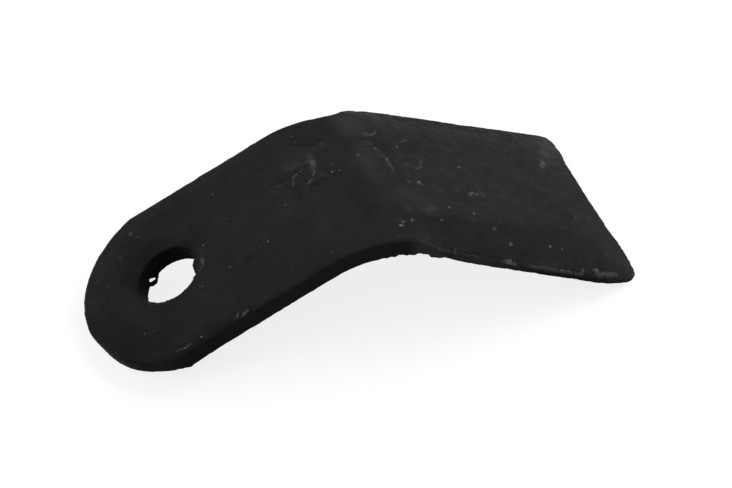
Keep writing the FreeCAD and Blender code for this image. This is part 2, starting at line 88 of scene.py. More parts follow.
# Bright streaks: a line of places, its width, its depth and its brightness.
STREAKS = (
    ("gouge, first bead", ((57.9, 8.8), (58.3, 8.0)), 0.9, 0.07, 0.30),
    ("gouge, second bead", ((58.5, 7.1), (58.7, 6.7)), 0.6, 0.06, 0.12),
    ("gouge, third bead", ((58.7, 5.6), (58.8, 5.1)), 0.7, 0.06, 0.20),
    ("gouge, brightest bead", ((59.3, 4.4), (59.1, 3.8)), 0.7, 0.08, 0.75),
    ("gouge, bend", ((59.2, 3.5), (59.0, 2.0)), 0.9, 0.08, 0.18),
    ("gouge, tail", ((58.8, 2.0), (58.9, -0.2), (58.6, -1.5)), 0.8, 0.07, 0.23),
    ("upper nick, left knot", ((57.1, 13.9), (57.5, 14.5)), 0.9, 0.03, 0.20),
    ("upper nick, middle", ((58.0, 14.9), (58.5, 14.0), (59.2, 14.4)), 0.7, 0.06, 0.40),
    ("upper nick, right stroke", ((59.7, 14.4), (60.2, 15.2)), 0.6, 0.05, 0.45),
    ("stroke by the gouge", ((62.6, 8.8), (63.0, 10.0)), 0.45, 0.04, 0.75),
    ("far streak", ((64.7, 12.3), (65.9, 13.2)), 0.8, 0.02, 0.25),
    ("stroke below it", ((65.5, 3.6), (66.0, 4.7)), 0.5, 0.03, 0.28),
    ("forked nick, right arm", ((65.1, 2.3), (64.4, 0.6)), 0.8, 0.04, 0.24),
    ("forked nick, left arm", ((63.4, 1.7), (64.2, 0.7)), 0.6, 0.04, 0.15),
    ("stroke beside the fork", ((61.9, 1.2), (62.3, 2.2)), 0.6, 0.02, 0.18),
    ("faint stroke under the fork", ((61.5, -1.8), (61.1, -3.2)), 0.4, 0.01, 0.10),
    ("short dash", ((60.6, -4.6), (60.6, -6.0)), 0.7, 0.03, 0.22),
    ("bright dash", ((62.4, -5.8), (62.8, -5.1)), 0.8, 0.05, 0.80),
    ("its tail", ((63.0, -6.2), (63.2, -6.7)), 0.5, 0.02, 0.28),
    ("pale dash", ((65.1, -7.9), (66.6, -7.0)), 0.8, 0.01, 0.11),
    ("pale dab", ((69.6, -6.4), (70.4, -5.7)), 0.9, 0.02, 0.18),
    ("leg streak", ((71.5, -7.8), (72.7, -6.6)), 0.7, 0.05, 0.50),
    ("its twin", ((73.0, -7.5), (73.6, -6.4)), 0.5, 0.03, 0.34),
    ("its pale end", ((74.2, -7.4), (74.5, -6.2)), 1.1, 0.01, 0.20),
    ("upper pair line", ((60.6, -16.8), (62.8, -15.7)), 1.1, 0.01, 0.12),
    ("lower pair line", ((60.6, -18.2), (62.3, -17.9)), 0.9, 0.01, 0.09),
    ("pale stroke on the shoulder", ((69.4, -17.2), (69.0, -18.4)), 0.8, 0.01, 0.12),
    ("stroke on the shoulder", ((70.3, -14.9), (69.9, -16.3)), 0.5, 0.03, 0.45),
    ("stroke by the crease", ((53.6, 7.8), (53.2, 6.6)), 0.5, 0.03, 0.34),
    ("faint stroke by the crease", ((51.6, 5.8), (52.0, 4.3)), 0.7, 0.01, 0.10),
    ("pale patch by the gouge", ((56.2, 10.8), (57.5, 10.4)), 1.3, 0.00, 0.11),
    ("flame of the scuff", ((43.1, 11.4), (43.0, 9.2), (42.8, 7.4), (42.7, 5.9)), 1.3, 0.03, 0.20),
    ("heart of the flame", ((43.1, 9.0), (42.8, 7.8)), 1.1, 0.02, 0.34),
    ("scuff, bright stroke", ((42.4, 5.2), (41.5, 4.0)), 0.6, 0.06, 0.70),
    ("scuff, lower stroke", ((41.1, 3.0), (39.8, 2.2)), 0.7, 0.05, 0.42),
    ("scuff, right dab", ((43.4, 3.9), (43.8, 3.4), (44.7, 2.3)), 0.7, 0.02, 0.18),
    ("scuff, left stroke", ((36.6, 3.7), (37.4, 5.5)), 0.7, 0.03, 0.24),
    ("scuff, left knot", ((37.6, 6.4), (38.2, 6.8)), 0.8, 0.03, 0.40),
    ("scuff, veil", ((37.0, 10.3), (38.2, 9.6), (40.0, 9.9)), 1.4, 0.00, 0.10),
    ("scuff, upper dab", ((41.7, 9.3), (42.4, 9.9)), 0.6, 0.03, 0.25),
    ("streak left of the scuff", ((32.7, 6.9), (34.0, 5.8)), 0.8, 0.02, 0.15),
    ("its faint neighbour", ((31.0, 6.4), (32.6, 4.4)), 0.9, 0.01, 0.07),
    ("pale stroke in the bend", ((47.4, 14.9), (47.1, 13.3)), 0.7, 0.01, 0.13),
    ("pale dab in the bend", ((44.6, 13.7), (45.5, 13.5)), 0.9, 0.00, 0.09),
    ("pale dab over the groove", ((41.2, 18.6), (41.9, 18.1)), 0.8, 0.00, 0.12),
    ("line beside the bore", ((9.3, -1.1), (9.1, -2.6), (8.4, -3.9), (7.5, -4.8)), 0.8, 0.02, 0.26),
    ("its faint start", ((10.2, 1.6), (9.5, -0.6)), 0.6, 0.01, 0.12),
    ("bright rim under the bore", ((-7.6, -3.2), (-6.9, -4.7), (-5.8, -6.0), (-4.4, -7.1), (-2.9, -7.9)),
     0.40, 0.00, 0.24),
    ("stroke on the round end", ((-10.1, 14.4), (-9.5, 13.1)), 0.7, 0.03, 0.20),
    ("stroke near the tip", ((-17.3, 11.1), (-16.3, 10.4)), 0.7, 0.02, 0.12),
    ("stroke at the tip", ((-21.0, 6.6), (-19.7, 5.3)), 0.5, 0.02, 0.16),
    ("worn near edge", ((-4.4, -23.4), (-2.5, -23.8), (-0.1, -23.9)), 0.6, 0.05, 0.32),
    ("chipped near edge", ((12.7, -24.6), (13.6, -24.3), (14.6, -24.0)), 0.8, 0.08, 0.50),
    ("stroke over the chip", ((12.1, -23.0), (11.6, -24.0)), 0.5, 0.04, 0.28),
    ("pit's bright side", ((92.3, -10.2), (91.6, -12.4)), 0.45, 0.00, 0.12),
    ("scratch by the cut end", ((92.2, -15.2), (91.7, -16.6), (91.9, -18.2)), 0.45, 0.01, 0.12),
    ("land, first streak", ((68.6, -30.5), (70.8, -30.2)), 1.0, 0.02, 0.40),
    # The soft gloss on the land is a painted highlight.
    ("land, soft gloss", ((75.0, -30.4), (77.5, -30.6), (79.6, -30.9)), 1.6, 0.00, 0.20),
    ("land, bright line", ((80.4, -31.1), (82.8, -31.2), (85.3, -31.0)), 0.8, 0.05, 0.55),
    ("land, polished patch", ((88.2, -30.9), (90.2, -30.6), (92.3, -30.3)), 1.4, 0.02, 0.40),
    ("thin stroke at the crease", ((61.7, -28.2), (60.9, -29.5)), 0.4, 0.03, 0.34),
    ("flow line at the crease", ((62.0, -27.6), (64.6, -29.2)), 0.7, 0.04, 0.08),
    ("streak by the far corner", ((93.1, 10.9), (93.8, 12.3), (94.4, 13.6)), 1.3, 0.00, 0.46),
    ("its tail", ((94.0, 12.8), (95.4, 15.4), (96.6, 19.0)), 2.4, 0.00, 0.08),
    ("line along the far crease", ((56.3, 25.0), (58.8, 25.3), (61.6, 25.1)), 0.7, 0.00, 0.30),
    ("arris by the tip", ((-20.6, -9.4), (-19.4, -12.2), (-17.6, -14.8)), 0.5, 0.00, 0.10),
)
# Bright spots: a place, a radius and a brightness.
SPOTS = (
    ("brightest spot, on the shoulder", (54.05, -20.75), 0.62, 1.00),
    ("its upper part", (54.70, -19.70), 0.50, 0.45),
    ("its pale patch", (53.90, -18.80), 0.80, 0.16),
    ("spot on the crease", (56.80, -19.80), 0.42, 0.42),
    ("pale spot over it", (57.25, -15.70), 0.55, 0.15),
    ("spot on the near shoulder", (65.85, -14.50), 0.42, 0.60),
    ("flake on the shoulder", (62.60, -19.75), 0.32, 0.42),
    ("spot under the shoulder", (72.20, -20.50), 0.40, 0.30),
    ("first spot on the bevel", (73.55, -24.70), 0.42, 0.70),
    ("second spot on the bevel", (81.70, -24.20), 0.36, 0.48),
    ("third spot on the bevel", (84.20, -24.10), 0.34, 0.36),
    ("pale spot by the cut end", (93.60, -24.00), 0.60, 0.14),
    ("spot on the leg", (73.35, 4.40), 0.40, 0.60),
    ("pale spot by the crease", (53.95, 10.50), 0.45, 0.12),
    ("land, knot", (71.20, -30.40), 0.50, 1.00),
    ("land, second knot", (71.80, -30.80), 0.40, 1.00),
    ("land, dot", (85.60, -30.30), 0.34, 0.42),
    ("land, far dot", (88.60, -29.70), 0.38, 0.55),
    ("land, its neighbour", (87.80, -29.90), 0.32, 0.28),
    ("pale spot at the crease's foot", (58.10, -29.50), 0.55, 0.16),
    ("its neighbour", (60.30, -28.00), 0.45, 0.10),
    ("spot above the bend's groove", (41.30, 20.65), 0.42, 0.42),
    ("brightest dot of the scuff", (46.30, 3.15), 0.40, 0.95),
    ("dot right of it", (48.00, 2.80), 0.34, 0.50),
    ("dot above it", (47.20, 6.25), 0.34, 0.42),
    ("dot inside the scuff", (39.30, 7.00), 0.32, 0.70),
    ("dot under the scuff", (32.95, -0.65), 0.34, 0.42),
    ("chip on the round end", (-5.25, 19.70), 0.58, 0.45),
    ("its neighbour", (-3.75, 17.10), 0.42, 0.50),
    ("spot on the far half", (17.90, 16.25), 0.34, 0.36),
    ("spot in the middle", (18.60, 5.80), 0.32, 0.28),
    ("spot beside the bore", (10.35, 2.30), 0.42, 0.50),
    ("knot on the bore's line", (9.05, -2.45), 0.36, 0.45),
    ("spot below the bore", (6.70, -9.60), 0.36, 0.45),
    ("spot right of it", (14.60, -9.10), 0.34, 0.40),
    ("spot further right", (23.10, -8.70), 0.34, 0.28),
    ("bright spot there", (25.10, -8.10), 0.38, 0.55),
    ("pale spot over it", (24.80, -6.90), 0.50, 0.16),
    ("pale spot on the near half", (20.20, -11.80), 0.36, 0.20),
    ("flake under the bore", (-5.50, -10.00), 0.42, 0.20),
    ("dot near the tip", (-9.80, -13.70), 0.34, 0.42),
    ("flake near it", (-7.80, -14.30), 0.42, 0.20),
    ("pale dot on the near half", (-1.75, -19.50), 0.36, 0.12),
    ("its twin", (3.25, -19.80), 0.42, 0.12),
    ("knot on the near edge", (-2.50, -23.90), 0.36, 0.55),
    ("second knot on the near edge", (2.40, -23.85), 0.40, 0.65),
    ("third knot on the near edge", (11.50, -24.00), 0.34, 0.50),
    ("fourth knot on the near edge", (19.50, -23.80), 0.42, 0.16),
)
# Dents: a line of places, its width, its depth and how strong its painted shade is.
DENTS = (
    ("pit near the cut end", ((91.0, -10.7), (90.9, -12.5)), 1.1, 0.16, 0.60),
    ("groove over the scuff", ((40.8, 17.8), (42.2, 16.8), (44.0, 15.4), (45.4, 14.4)), 1.1, 0.09, 0.60),
    ("hollow in the bend", ((46.6, 16.2), (47.4, 15.8)), 1.4, 0.05, 0.50),
    ("second hollow in the bend", ((46.7, 11.2), (48.0, 11.0)), 1.6, 0.04, 0.30),
    ("dark eye of the scuff", ((42.2, 10.5), (42.4, 10.3)), 0.6, 0.06, 0.90),
    ("dark side of the bright stroke", ((42.6, 4.9), (42.4, 4.4)), 0.45, 0.05, 0.80),
    ("dark side of the brightest dot", ((46.0, 2.4), (46.5, 2.0)), 0.55, 0.06, 0.95),
    ("dark side of the dot right of it", ((48.4, 2.9), (48.3, 2.4)), 0.45, 0.05, 0.70),
    ("scuff, hollow at the left", ((39.2, 3.5), (39.6, 3.0)), 0.9, 0.06, 0.55),
    ("scuff, hollow under it", ((40.6, 0.9), (41.8, 1.0)), 1.6, 0.06, 0.55),
    ("scuff, line under it", ((43.0, 1.8), (44.6, 1.5)), 0.8, 0.04, 0.55),
    ("scuff, dark stroke", ((38.3, 8.6), (38.6, 7.4)), 0.7, 0.05, 0.50),
    ("dark patch left of the scuff", ((36.4, 2.4), (36.6, -1.4)), 1.8, 0.03, 0.35),
    ("hollow left of the scuff", ((33.0, 7.4), (36.0, 6.9)), 1.2, 0.04, 0.35),
    ("gouge, dark head", ((58.4, 9.7), (58.6, 9.3)), 0.8, 0.08, 0.80),
    ("gouge, dark side", ((59.6, 3.3), (59.4, 1.2)), 0.5, 0.05, 0.40),
    ("line under the pale patch", ((55.9, 9.8), (57.7, 9.3)), 0.5, 0.05, 0.50),
    ("nick, left hollow", ((56.4, 12.9), (57.0, 12.6)), 1.0, 0.05, 0.45),
    ("nick, right hollow", ((58.4, 12.8), (58.8, 12.3)), 0.8, 0.05, 0.45),
    ("nick, dark stroke", ((60.2, 14.3), (60.3, 13.6)), 0.6, 0.05, 0.60),
    ("dark side of the stroke", ((62.3, 8.5), (62.6, 9.4)), 0.4, 0.04, 0.80),
    ("dark tip of the far streak", ((66.2, 13.6), (66.4, 13.0)), 0.5, 0.03, 0.50),
    ("dark side of the short dash", ((60.1, -6.1), (60.3, -6.8)), 0.7, 0.05, 0.70),
    ("dark side of the bright dash", ((62.9, -4.9), (63.1, -4.5)), 0.5, 0.04, 0.60),
    ("hollow in the leg streak", ((72.0, -7.9), (72.9, -7.6)), 0.5, 0.05, 0.60),
    ("dark side of the shoulder's spot", ((65.5, -15.2), (65.2, -15.9)), 0.6, 0.06, 0.80),
    ("dark side of the shoulder's stroke", ((69.6, -16.6), (69.5, -17.1)), 0.5, 0.05, 0.70),
    ("pits on the shoulder", ((62.2, -20.4), (62.5, -19.9)), 0.5, 0.06, 0.80),
    ("pits beside them", ((62.9, -20.6), (63.2, -20.2)), 0.5, 0.06, 0.80),
    ("shadow of the brightest spot", ((53.6, -21.5), (53.9, -21.6)), 0.6, 0.06, 0.80),
    ("dent in the bevel", ((74.4, -27.4), (75.2, -27.3)), 0.9, 0.06, 0.50),
    ("dents by the third spot", ((83.6, -25.0), (84.0, -24.6)), 0.5, 0.05, 0.60),
    ("dents right of it", ((84.7, -23.8), (84.9, -23.5)), 0.5, 0.05, 0.50),
    ("pit in the leg", ((80.1, 2.0), (80.3, 2.5)), 0.7, 0.05, 0.35),
    ("pit over the leg", ((67.7, 12.4), (68.0, 13.0)), 0.9, 0.04, 0.35),
    ("scar on the round end", ((-11.0, 12.1), (-9.6, 10.5)), 0.7, 0.07, 0.45),
    ("dark side of the chip", ((-5.9, 19.0), (-5.1, 18.7)), 0.6, 0.06, 0.70),
    ("scar above the bore", ((-8.4, 17.4), (-6.6, 16.2)), 0.9, 0.04, 0.25),
    ("hollow by the tip", ((-17.2, 5.2), (-15.8, 3.6)), 1.2, 0.04, 0.30),
    ("hollow near the tip", ((-16.4, -1.0), (-16.6, -1.9)), 0.8, 0.05, 0.30),
    ("hollow under the bore", ((-7.9, -15.0), (-6.9, -15.5), (-5.6, -14.6)), 0.7, 0.06, 0.50),
    ("dark side of the tip's dot", ((-10.3, -13.2), (-10.2, -13.0)), 0.4, 0.05, 0.70),
    ("dark side of the edge chip", ((15.1, -24.4), (15.4, -24.1)), 0.6, 0.08, 0.70),
    ("bite under the chip", ((13.0, -25.0), (14.4, -25.0)), 0.9, 0.10, 0.50),
)
# Wide patches of painted light and shade, and of lighter or darker coat: a place, the reach along and across,
# the turn in degrees, lighter or darker.
PAINTED_LIGHT_AND_TONE_PATCHES = (
    ("shade over the bore", (-3.0, 9.8), (8.0, 4.2), 15.0, -0.62),
    ("shade left of the bore", (-8.4, 3.0), (2.4, 6.0), 15.0, -0.45),
    ("shade right of the bore", (6.9, 5.6), (3.0, 4.0), 40.0, -0.35),
    ("dark lower part of the round end", (-15.0, -13.0), (7.0, 11.0), 0.0, -0.40),
    ("light rim of the round end", (-15.0, 16.5), (3.5, 9.0), -50.0, 0.22),
    ("light far strip of the shank", (20.0, 24.0), (30.0, 4.0), 0.0, 0.18),
    ("light middle of the shank", (31.0, 7.0), (13.0, 12.0), 0.0, 0.26),
    ("light veil over the scuff", (41.0, 12.5), (5.0, 6.0), 0.0, 0.16),
    ("light near half of the bend", (42.5, -13.0), (7.0, 13.0), 0.0, 0.18),
    ("dark strip before the crease", (49.5, -8.0), (4.0, 15.0), 0.0, -0.22),
    ("dark strip in the far bend", (49.0, 17.5), (3.6, 7.0), 10.0, -0.16),
    ("light start of the crease", (55.4, 3.5), (3.6, 9.0), 0.0, 0.42),
    ("light far start of the crease", (55.6, 21.0), (4.4, 6.0), 25.0, 0.60),
    ("light near start of the crease", (58.5, -12.0), (6.0, 6.0), 0.0, 0.38),
    ("dark hollow beside the gouge", (61.0, 8.0), (2.6, 4.0), 0.0, -0.22),
    ("dark hollow over the leg", (68.0, 10.5), (6.0, 3.0), 0.0, -0.12),
    ("dark lower leg", (74.0, -10.0), (10.0, 5.0), 0.0, -0.14),
    ("light far corner", (98.6, 22.0), (2.6, 10.0), -8.0, 0.36),
    ("dark patch by the far corner", (89.0, 25.5), (3.6, 6.5), -8.0, -0.30),
    ("light zone by the far corner", (97.5, 21.0), (3.2, 9.0), -8.0, 0.08),
    ("light near corner", (96.4, -24.5), (2.6, 8.0), 0.0, 0.26),
    ("dark near rim of the round end", (-9.0, -17.5), (5.0, 6.0), 0.0, -0.22),
    ("dark near rim of the shank", (3.0, -24.0), (13.0, 3.0), 0.0, -0.42),
    ("dark tip", (-21.5, -3.0), (2.6, 6.0), 0.0, -0.22),
    ("light patch right of the bore", (15.5, 6.5), (4.0, 2.6), 10.0, 0.20),
    ("light near part of the shank", (26.0, -5.5), (11.0, 7.0), 0.0, 0.20),
    ("light near part of the bend", (37.0, -6.0), (7.0, 8.0), 0.0, 0.14),
    ("light head of the crease", (55.0, 16.5), (3.4, 4.0), 20.0, 0.30),
    ("dark foot of the crease", (54.5, -21.0), (3.6, 3.0), 0.0, -0.20),
    ("light foot of the leg", (60.8, -17.0), (3.6, 3.0), 0.0, 0.16),
    ("dark near leg", (87.0, -11.0), (8.0, 9.0), 0.0, -0.14),
    ("dark part under the bore", (-6.5, -12.0), (6.0, 5.0), 0.0, -0.14),
    ("light far rim of the shank", (27.0, 23.5), (22.0, 3.0), 0.0, 0.18),
    ("light middle of the crease", (54.0, 1.0), (3.2, 8.0), 0.0, 0.18),
    ("light near side of the shank", (28.0, -15.0), (10.0, 7.0), 0.0, 0.18),
    ("dark hollow before the crease", (47.3, -12.0), (3.0, 9.0), 0.0, -0.14),
    ("light cut end", (97.0, 12.0), (3.4, 8.0), 0.0, 0.16),
    ("light near end", (94.5, -27.0), (5.0, 5.0), 0.0, 0.22),
    ("light head of the bend", (57.0, 15.0), (4.0, 3.4), 0.0, 0.20),
    ("dark near part of the round end", (-6.0, -20.0), (7.0, 4.0), 10.0, -0.20),
    ("light far rim by the bore", (-1.0, 22.5), (9.0, 3.5), 8.0, 0.18),
    ("light far side of the bend", (38.0, 19.5), (6.5, 5.0), 0.0, 0.16),
    ("light far foot of the bend", (53.3, 18.5), (2.6, 6.0), 0.0, 0.18),
    ("dark far edge of the leg", (82.0, 27.5), (20.0, 4.0), 4.0, -0.13),
    ("dark far shoulder", (60.8, 22.5), (3.4, 4.0), 0.0, -0.16),
    ("light near foot of the leg", (61.5, -17.0), (3.4, 2.4), 0.0, 0.16),
    ("dark part left of the bore", (-17.8, -2.0), (3.4, 6.0), 0.0, -0.17),
    ("shade at the bore's far left", (-7.0, 14.0), (4.0, 3.4), 0.0, -0.20),
    ("dark near part of the cut end", (95.3, -2.5), (3.0, 7.5), 0.0, -0.15),
)
# Pieces broken out of an edge: a place, a reach and the way the edge went.
NOTCHES = (
    ("nick in the cut end, far side", (100.3, 14.8, -45.0), 1.3, (-0.45, 0.0, 0.0)),
    ("nick in the cut end, near side", (98.0, -14.6, -42.5), 1.6, (-0.60, 0.0, 0.0)),
    ("chip behind the tab", (-5.6, 6.0, -5.0), 1.6, (-0.90, 1.05, 0.4)),
)
# Where the forging has pushed the blade's narrow sides out or in: place, reach and height.
BULGES = (
    ("upset beside the crease", (55.5, -27.5, -12.0), 9.0, 0.90),
    ("sheared corner of the round end", (-3.5, -25.0, -4.0), 9.0, 0.45),
    ("upset before the crease", (49.0, -25.5, -9.5), 6.0, 0.40),
    ("full stretch of the cut end", (101.0, 17.0, -50.0), 9.0, 0.40),
    ("flat on the round end", (-20.0, -9.0, -3.0), 9.0, -0.35),
)
# A burr is a row of balls that grow together: place and radius of each, in millimetres.
BURRS = (
    ("curled tab at the bore's lower rim",
     ((-3.6, 7.3, -4.8, 0.50), (-3.9, 6.6, -5.0, 0.45), (-4.3, 5.8, -5.0, 0.45),
      (-4.9, 5.3, -4.9, 0.66), (-5.6, 5.1, -4.8, 0.66), (-6.2, 5.1, -4.7, 0.45))),
    ("lip at the bore's upper rim",
     ((7.40, -0.4, -1.0, 0.80), (7.00, -1.4, -1.0, 0.90), (6.90, -2.4, -1.0, 0.88), (6.75, -3.4, -1.0, 0.75))),
)
# The rounded rims of the bore are drawn in to BORE_EDGE, which takes every corner closer than RIM_EDGE.
BORE_EDGE = 7.90
RIM_EDGE = 8.75
# Closer to the bore's centre than this, the skin keeps its edges.
BORE_ZONE = 9.2
# Along the bar, the crease's own stretch; across it, where the near side starts.
CREASE_RUN = (53.4, 55.6)
NEAR_SIDE = (19.0, 24.0)
# Starts of the chance patterns that bend the marks and the patches of painted light, shade and tone.
MARK_SEED = 33
SHADE_SEED = 51
# How far a mark reaches for its width or radius, and how deep a spot's pit and how high its lip are.
VEIL_REACH = 0.9
SPOT_VEIL_REACH = 1.5
SPOT_REACH = 1.9
SPOT_GAIN = 1.35
PIT_REACH = 1.2
PIT_DEPTH = 0.10
LIP_HEIGHT = 0.05
DENT_REACH = 0.85
# How strongly the painted shade in pits and dents, bright marks and dust show in the coat.
PIT_SHADE_SHARE = 0.85
TORN_GAIN = 0.62
DUST_LEVEL = 0.16
# Strength of the fine grain, and its height in millimetres.
BUMP_STRENGTH = 0.14
BUMP_HEIGHT = 0.16
# The stage, in metres.
FLOOR_REACH = 3.0
KEY_PLACE, KEY_WIDTH = (0.60, 0.10, 0.80), 0.7
FILL_PLACE, FILL_WIDTH = (-0.5, -0.3, 0.6), 0.5
CAMERA_SHIFT = (-0.0004, 0.0003)


class BladeSurface(bpy.types.PropertyGroup):
    """How finely the blade is modelled and how uneven its forged skin is."""

    grain: bpy.props.FloatProperty(
        name="Grain", description="Edge length of the finest mesh, mm", default=0.26, min=0.2)
    triangles: bpy.props.IntProperty(
        name="Triangles", description="Most triangles in the finished blade", default=190000, min=1000)
    settle: bpy.props.IntProperty(
        name="Settle", description="Rounds of smoothing after the mesh is made", default=2, min=0)
    swell: bpy.props.FloatProperty(
        name="Swell", description="Height of the slow waves in the forged skin, mm", default=0.14)
    swell_length: bpy.props.FloatProperty(
        name="Swell length", description="Length of the slow waves, mm", default=13.0)
    ripple: bpy.props.FloatProperty(
        name="Ripple", description="Height of the short waves in the forged skin, mm", default=0.035)
    ripple_length: bpy.props.FloatProperty(
        name="Ripple length", description="Length of the short waves, mm", default=3.2)
    shoulder_blend: bpy.props.FloatProperty(
        name="Shoulder blend", description="Half the width of the rounding between flat and bevel, mm",
        default=4.5, min=0.5)
    bevel_run: bpy.props.FloatProperty(
        name="Bevel run", description="Distance over which the bevels reach their full slope, mm",
        default=5.0, min=0.5)
    fullness: bpy.props.FloatProperty(
        name="Fullness", description="What the smoothed outline gets back, mm", default=0.24)
    edge_wander: bpy.props.FloatProperty(
        name="Edge wander", description="How far the cut outline wanders, mm", default=0.06)
    arris_loss: bpy.props.FloatProperty(
        name="Arris loss", description="Depth of the chips along the arrises, mm", default=0.14)
    seed: bpy.props.IntProperty(name="Seed", description="Start of the chance patterns", default=11)


class BladeFinish(bpy.types.PropertyGroup):
    """Colours and gloss of the coat, the worn edges, the scuffs and the painted shade in pits and dents."""

    coat: bpy.props.FloatVectorProperty(
        name="Coat", description="Colour of the black coat", subtype="COLOR", size=3,
        default=(0.0092, 0.0092, 0.0094))
    faded: bpy.props.FloatVectorProperty(
        name="Faded coat", description="Colour of the coat where it is thin", subtype="COLOR", size=3,
        default=(0.0130, 0.0130, 0.0131))
    side: bpy.props.FloatVectorProperty(
        name="Side", description="Colour of the bar's narrow sides", subtype="COLOR", size=3,
        default=(0.0105, 0.0105, 0.0106))
    scuff: bpy.props.FloatVectorProperty(
        name="Scuff", description="Colour of scuffed steel", subtype="COLOR", size=3,
        default=(0.16, 0.16, 0.158))
    # The pit colour is painted shade for the bottom of pits and dents.
    pit: bpy.props.FloatVectorProperty(
        name="Pit", description="Colour in the bottom of pits and dents", subtype="COLOR", size=3,
        default=(0.0012, 0.0012, 0.0012))
    roughness: bpy.props.FloatProperty(
        name="Roughness", description="Roughness of the coat", default=0.60, min=0, max=1)
    sheen_level: bpy.props.FloatProperty(
        name="Sheen", description="Strength of the coat's reflection", default=0.04, min=0, max=1)


class BladeStage(bpy.types.PropertyGroup):
    """Floor, lamps and camera."""

    floor_tone: bpy.props.FloatProperty(
        name="Floor tone", description="How much light the floor gives back", default=0.18)
    sky: bpy.props.FloatProperty(
        name="Sky", description="Strength of the soft light from all round", default=0.60)
    key: bpy.props.FloatProperty(
        name="Key lamp", description="Power of the large lamp, W", default=6.0, subtype="POWER")
    fill: bpy.props.FloatProperty(
        name="Fill lamp", description="Power of the small lamp, W", default=1.5, subtype="POWER")
    lens: bpy.props.FloatProperty(
        name="Lens", description="Focal length for a 36 mm wide picture, mm", default=68.1)
    camera_place: bpy.props.FloatVectorProperty(
        name="Camera place", description="Camera in the blade's own frame, mm", size=3,
        default=(57.92, -243.02, 221.77))
    camera_turn: bpy.props.FloatVectorProperty(
        name="Camera turn", description="Camera's turn in the blade's own frame, degrees", size=3,
        default=(39.225, 22.84, -22.05))


def blade_frame():
    """The blade's own frame in the row's: origin in the bore's centre on the mating face, Z out of it."""
    mounts = {mount["name"]: mount for mount in frame["record"]["mounts"]}
    bore = mounts["bolt_bore"]
    up = Vector(bore["axis"]).normalized()
    centre = Vector(bore["pos_m"]) + up * bore["dims"]["length_mm"] / 2 * MM
    along = Vector(mounts["mating_face"]["pos_m"]) - centre
    along = (along - up * along.dot(up)).normalized()
    turned = Matrix((along, up.cross(along), up)).transposed().to_4x4()
    return Matrix.Translation(centre) @ turned


# Mesh of the forged blade


def even_mesh(shell, grain):
    """Frees the bmesh and returns an even, closed mesh of what it held."""
    mesh = bpy.data.meshes.new("blade_work")
    shell.to_mesh(mesh)
    shell.free()
    work = bpy.data.objects.new("blade_work", mesh)
    bpy.context.scene.collection.objects.link(work)
    voxels = work.modifiers.new("Even mesh", "REMESH")
    voxels.mode = "VOXEL"
    voxels.voxel_size = grain
    depsgraph = bpy.context.evaluated_depsgraph_get()
    fine = bpy.data.meshes.new_from_object(work.evaluated_get(depsgraph), depsgraph=depsgraph)
    bpy.data.objects.remove(work)
    bpy.data.meshes.remove(mesh)
    return fine


def fine_copy(surface):
    """The CAD blade with soft shoulders and burrs, in millimetres in the blade's own frame."""
    shell = bmesh.new()
    shell.from_mesh(frame["nodes"][NODE].data)
    bmesh.ops.remove_doubles(shell, verts=shell.verts, dist=0.001 * MM)
    shell.transform(Matrix.Scale(1 / MM, 4) @ blade_frame().inverted())
    for corner in shell.verts:
        reach = math.hypot(corner.co.x, corner.co.y)
        if reach < RIM_EDGE:
            corner.co.x *= BORE_EDGE / reach
            corner.co.y *= BORE_EDGE / reach
            corner.co.z = 0 if corner.co.z > -THICKNESS / 2 else -THICKNESS
    blank = even_mesh(shell, surface.grain)
    skin = Skin(blank)
    ease_bevels(skin, surface)
    nick(skin)
    shell = bmesh.new()
    shell.from_mesh(blank)
    bpy.data.meshes.remove(blank)
    for _, balls in BURRS:
        for *place, radius in balls:
            at = Matrix.Translation(place)
            bmesh.ops.create_icosphere(shell, subdivisions=2, radius=radius, matrix=at)
    return even_mesh(shell, surface.grain)


class Skin:
    """The mesh as arrays: places, outward directions and neighbours."""

    def __init__(self, mesh):
        self.mesh = mesh
        count = len(mesh.vertices)
        self.place = np.empty(count * 3)
        mesh.vertices.foreach_get("co", self.place)
        self.place = self.place.reshape(-1, 3)
        edges = np.empty(len(mesh.edges) * 2, int)
        mesh.edges.foreach_get("vertices", edges)
        self.edges = edges.reshape(-1, 2)
        self.valence = np.bincount(edges, minlength=count)[:, None]
        self.look()

    def look(self):
        """Writes the places back and reads the directions."""
        self.mesh.vertices.foreach_set("co", self.place.ravel())
        self.mesh.update()
        out = np.empty(self.place.size)
        self.mesh.vertex_normals.foreach_get("vector", out)
        self.out = out.reshape(-1, 3)

    def spread(self, values, rounds=1):
        """Each value becomes the mean of its neighbours', a number of times."""
        values = values.reshape(len(values), -1).astype(float)
        ends = np.concatenate((self.edges[:, 0], self.edges[:, 1]))
        others = np.concatenate((self.edges[:, 1], self.edges[:, 0]))
        for _ in range(rounds):
            totals = [np.bincount(ends, column[others], len(values)) for column in values.T]
            values = 0.5 * values + 0.5 * np.stack(totals, axis=1) / self.valence
        return values

    def move(self, distance):
        """Moves each point outwards by its distance."""
        self.place += self.out * distance[:, None]
        self.look()

    def waves(self, length, seed):
        """Smooth chance values from -1 to 1, with waves of about the given length."""
        shift = Vector((seed * 17.3, seed * 5.1, seed * 9.7))
        return np.array([noise.noise(Vector(p) / length + shift) for p in self.place])


def smooth_step(value, low, high):
    """0 below low, 1 above high and a smooth rise between them."""
    t = np.clip((value - low) / (high - low), 0, 1)
    return t * t * (3 - 2 * t)


def line_distance(places, line):
    """Distance from each place to a line, both seen square to the shank."""
    best = np.full(len(places), np.inf)
    for start, end in zip(line, line[1:]):
        start, end = np.array(start), np.array(end)
        run = end - start
        along = np.clip((places[:, :2] - start) @ run / (run @ run), 0, 1)
        gap = np.linalg.norm(places[:, :2] - start - along[:, None] * run, axis=1)
        best = np.minimum(best, gap)
    return best


